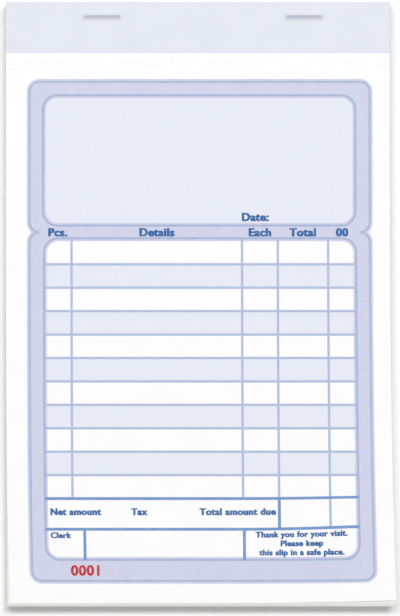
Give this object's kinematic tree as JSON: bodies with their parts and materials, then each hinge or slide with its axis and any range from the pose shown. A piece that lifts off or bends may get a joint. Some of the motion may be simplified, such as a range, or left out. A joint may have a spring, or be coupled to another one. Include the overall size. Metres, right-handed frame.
{
  "type": "duplicate receipt book",
  "caption": "Portrait pad of paired receipt forms, bound along the top edge by wire staples under a wrapped paper strip, with a loose carbon sheet and a grey backing board.",
  "frame": {"origin": "middle of the pad on the plane of the backing board's exposed back", "axes": "+Z out of the printed face, +Y towards the bound top edge, +X to the right of a reader"},
  "size_m": [0.105, 0.165, 0.0093],
  "materials": {
    "original_paper": "matte",
    "copy_paper": "matte",
    "set_paper": "matte",
    "strip_paper": "matte",
    "grey_board": "matte",
    "carbon_paper": "satin",
    "staple_wire": "satin"
  },
  "bodies": {
    "block": {"backing_board": "grey_board", "binding_strip": "strip_paper", "left_staple": "staple_wire", "right_staple": "staple_wire", "original_01_stub": "original_paper", "copy_01_stub": "copy_paper", "receipt_set_02": "set_paper", "receipt_set_03": "set_paper", "receipt_set_04": "set_paper", "receipt_set_05": "set_paper", "receipt_set_06": "set_paper", "receipt_set_07": "set_paper", "receipt_set_08": "set_paper", "receipt_set_09": "set_paper", "receipt_set_10": "set_paper", "receipt_set_11": "set_paper", "receipt_set_12": "set_paper", "receipt_set_13": "set_paper", "receipt_set_14": "set_paper", "receipt_set_15": "set_paper", "receipt_set_16": "set_paper", "receipt_set_17": "set_paper", "receipt_set_18": "set_paper", "receipt_set_19": "set_paper", "receipt_set_20": "set_paper", "receipt_set_21": "set_paper", "receipt_set_22": "set_paper", "receipt_set_23": "set_paper", "receipt_set_24": "set_paper", "receipt_set_25": "set_paper", "receipt_set_26": "set_paper", "receipt_set_27": "set_paper", "receipt_set_28": "set_paper", "receipt_set_29": "set_paper", "receipt_set_30": "set_paper", "receipt_set_31": "set_paper", "receipt_set_32": "set_paper", "receipt_set_33": "set_paper", "receipt_set_34": "set_paper", "receipt_set_35": "set_paper", "receipt_set_36": "set_paper", "receipt_set_37": "set_paper", "receipt_set_38": "set_paper", "receipt_set_39": "set_paper", "receipt_set_40": "set_paper", "receipt_set_41": "set_paper", "receipt_set_42": "set_paper", "receipt_set_43": "set_paper", "receipt_set_44": "set_paper", "receipt_set_45": "set_paper", "receipt_set_46": "set_paper", "receipt_set_47": "set_paper", "receipt_set_48": "set_paper", "receipt_set_49": "set_paper", "receipt_set_50": "set_paper"},
    "copy_leaf": {"copy_01": "copy_paper"},
    "carbon": {"carbon_sheet": "carbon_paper"},
    "original_leaf": {"original_01": "original_paper"}
  },
  "joints": [
    {"name": "copy_turn", "type": "hinge", "parent": "block", "child": "copy_leaf", "pos_m": [0, 0.0682, 0.00888], "axis": [-1, 0, 0], "range_deg": [0, 45]},
    {"name": "carbon_slide", "type": "slide", "parent": "copy_leaf", "child": "carbon", "axis": [0, -1, 0], "range_m": [0, 0.12]},
    {"name": "original_turn", "type": "hinge", "parent": "copy_leaf", "child": "original_leaf", "pos_m": [0, 0.0682, 0.00903], "axis": [-1, 0, 0], "range_deg": [0, 130]}
  ]
}
